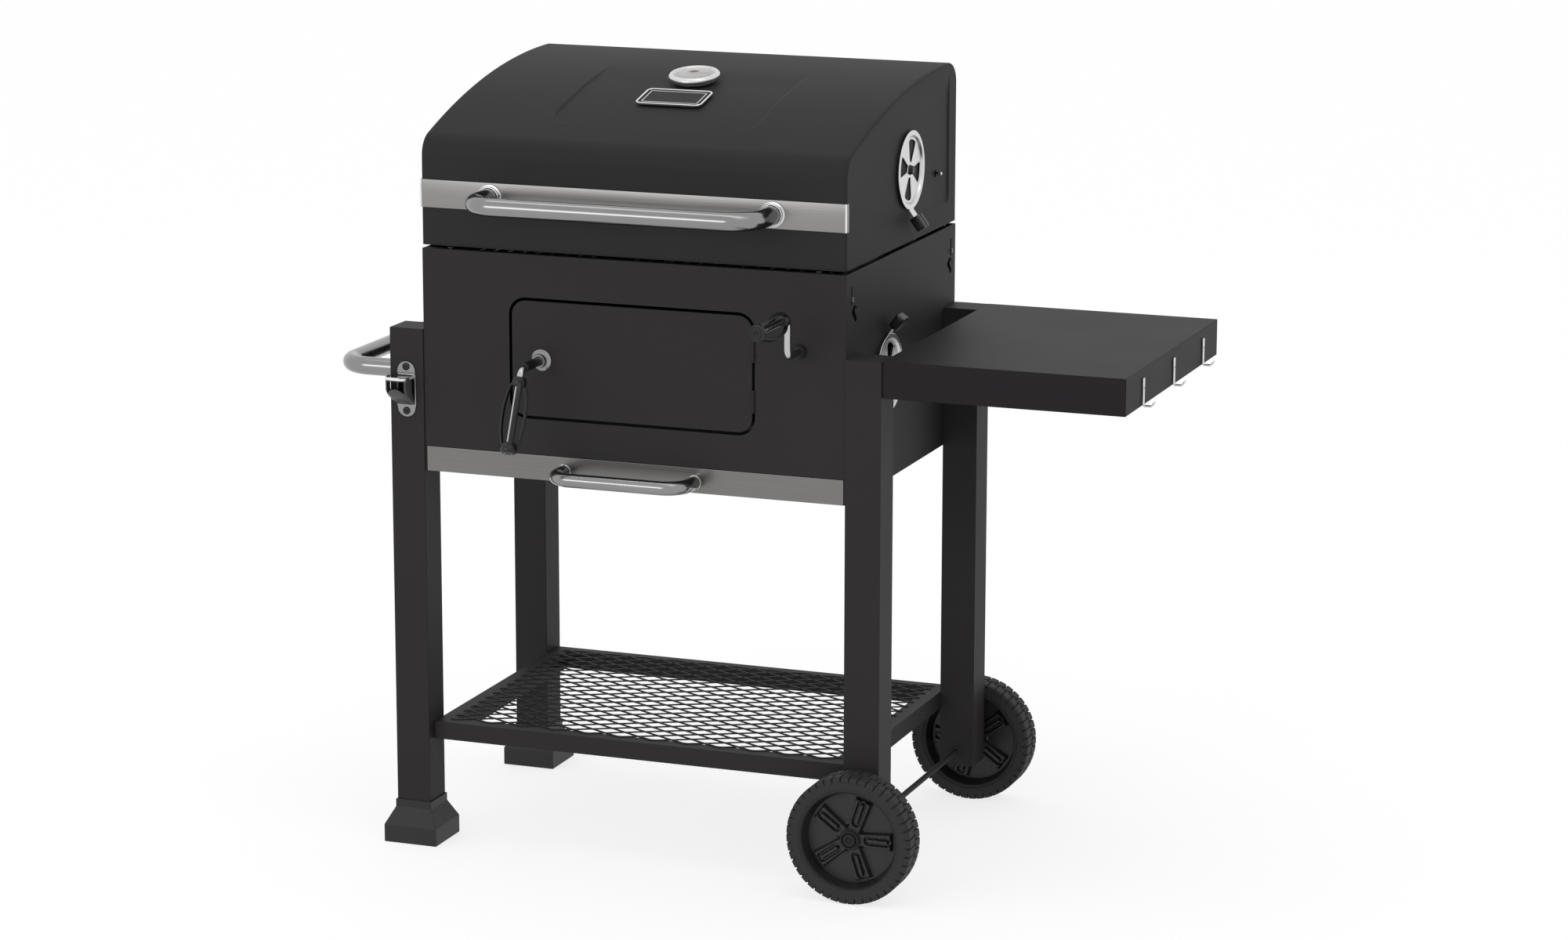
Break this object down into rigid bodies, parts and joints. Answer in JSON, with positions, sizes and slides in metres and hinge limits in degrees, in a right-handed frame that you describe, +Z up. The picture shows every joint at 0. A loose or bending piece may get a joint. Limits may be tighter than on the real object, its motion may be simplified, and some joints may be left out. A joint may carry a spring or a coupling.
{
  "type": "charcoal barrel grill",
  "caption": "Charcoal barrel grill on a wheeled cart, with a hinged lid, charcoal door, ash drawer, crank-lifted charcoal tray and side shelf.",
  "frame": {"origin": "on the ground under the middle of the whole grill", "axes": "+X from the cart handle towards the side shelf, +Y from the door and crank side towards the hinges, +Z up"},
  "size_m": [1.1586, 0.6768, 1.071],
  "materials": {
    "powder_coat": "satin black powder coat",
    "brushed_steel": "brushed along its length",
    "chrome": "polished plating",
    "tyre_rubber": "matt moulded rubber with blocks",
    "black_plastic": "fine moulded grain",
    "enamel": "black enamel",
    "raw_steel": "plain zinc-grey steel"
  },
  "bodies": {
    "cart": {"axle": "powder_coat", "axle_nut": "black_plastic", "bottle_opener": "chrome", "crank_bushing": "black_plastic", "door_hinge_strip": "powder_coat", "firebox_back": "powder_coat", "firebox_front": "powder_coat", "firebox_left_side": "powder_coat", "firebox_right_side": "powder_coat", "front_grate_rail": "raw_steel", "front_left_foot": "black_plastic", "front_left_leg": "powder_coat", "front_right_leg": "powder_coat", "front_tray_guide": "raw_steel", "left_cooking_grate": "enamel", "left_lid_hinge_base": "powder_coat", "lower_shelf_frame": "powder_coat", "mesh_shelf": "powder_coat", "rear_grate_rail": "raw_steel", "rear_left_foot": "black_plastic", "rear_left_leg": "powder_coat", "rear_right_leg": "powder_coat", "rear_tray_guide": "raw_steel", "right_cooking_grate": "enamel", "right_lid_hinge_base": "powder_coat", "side_handle": "chrome", "side_shelf": "powder_coat", "tool_hook_1": "chrome", "tool_hook_2": "chrome", "tool_hook_3": "chrome", "warming_rack": "chrome"},
    "lid": {"lid_cover": "powder_coat", "lid_left_end": "powder_coat", "lid_right_end": "powder_coat", "lid_band": "brushed_steel", "lid_handle": "chrome", "heat_gauge": "chrome", "badge_plate": "brushed_steel", "left_lid_hinge_leaf": "powder_coat", "right_lid_hinge_leaf": "powder_coat"},
    "lid_damper": {"lid_damper_disc": "chrome", "lid_damper_knob": "black_plastic"},
    "firebox_damper": {"firebox_damper_disc": "chrome", "firebox_damper_knob": "black_plastic"},
    "door": {"charcoal_door": "powder_coat", "latch_escutcheon": "chrome"},
    "latch": {"latch_handle": "chrome", "latch_grip": "black_plastic"},
    "tray": {"charcoal_tray": "enamel", "tray_cradle": "raw_steel"},
    "crank": {"crank_handle": "chrome", "crank_grip": "black_plastic", "crank_pinion": "raw_steel"},
    "drawer": {"ash_pan": "raw_steel", "drawer_face": "brushed_steel", "drawer_handle": "chrome"},
    "front_wheel": {"front_wheel_tyre": "tyre_rubber", "front_wheel_rim": "black_plastic"},
    "rear_wheel": {"rear_wheel_tyre": "tyre_rubber", "rear_wheel_rim": "black_plastic"}
  },
  "joints": [
    {"name": "lid_hinge", "type": "hinge", "parent": "cart", "child": "lid", "pos_m": [-0.1262, 0.2846, 0.8444], "axis": [-1, 0, 0], "range_deg": [0, 85]},
    {"name": "lid_damper_turn", "type": "hinge", "parent": "lid", "child": "lid_damper", "pos_m": [0.1788, 0.0726, 0.9465], "axis": [1, 0, 0], "range_deg": [0, 45]},
    {"name": "firebox_damper_turn", "type": "hinge", "parent": "cart", "child": "firebox_damper", "pos_m": [0.1788, -0.0114, 0.682], "axis": [1, 0, 0], "range_deg": [0, 45]},
    {"name": "door_hinge", "type": "hinge", "parent": "cart", "child": "door", "pos_m": [0.04895, -0.1784, 0.7], "axis": [0, 0, 1], "range_deg": [0, 100]},
    {"name": "latch_turn", "type": "hinge", "parent": "door", "child": "latch", "pos_m": [-0.2571, -0.1774, 0.699], "axis": [0, 1, 0], "range_deg": [0, 90]},
    {"name": "tray_lift", "type": "slide", "parent": "cart", "child": "tray", "axis": [0, 0, 1], "range_m": [0, 0.06]},
    {"name": "crank_turn", "type": "hinge", "parent": "cart", "child": "crank", "pos_m": [0.1138, -0.1774, 0.7365], "axis": [0, 1, 0], "range_deg": [0, 172]},
    {"name": "drawer_slide", "type": "slide", "parent": "cart", "child": "drawer", "axis": [0, -1, 0], "range_m": [0, 0.32]},
    {"name": "front_wheel_spin", "type": "hinge", "parent": "cart", "child": "front_wheel", "pos_m": [0.2041, -0.2104, 0.088], "axis": [0, 1, 0], "continuous": true},
    {"name": "rear_wheel_spin", "type": "hinge", "parent": "cart", "child": "rear_wheel", "pos_m": [0.2041, 0.3111, 0.088], "axis": [0, 1, 0], "continuous": true}
  ],
  "couplings": [
    {"joint": "crank_turn", "follows": "tray_lift", "rad_per_m": 50}
  ]
}
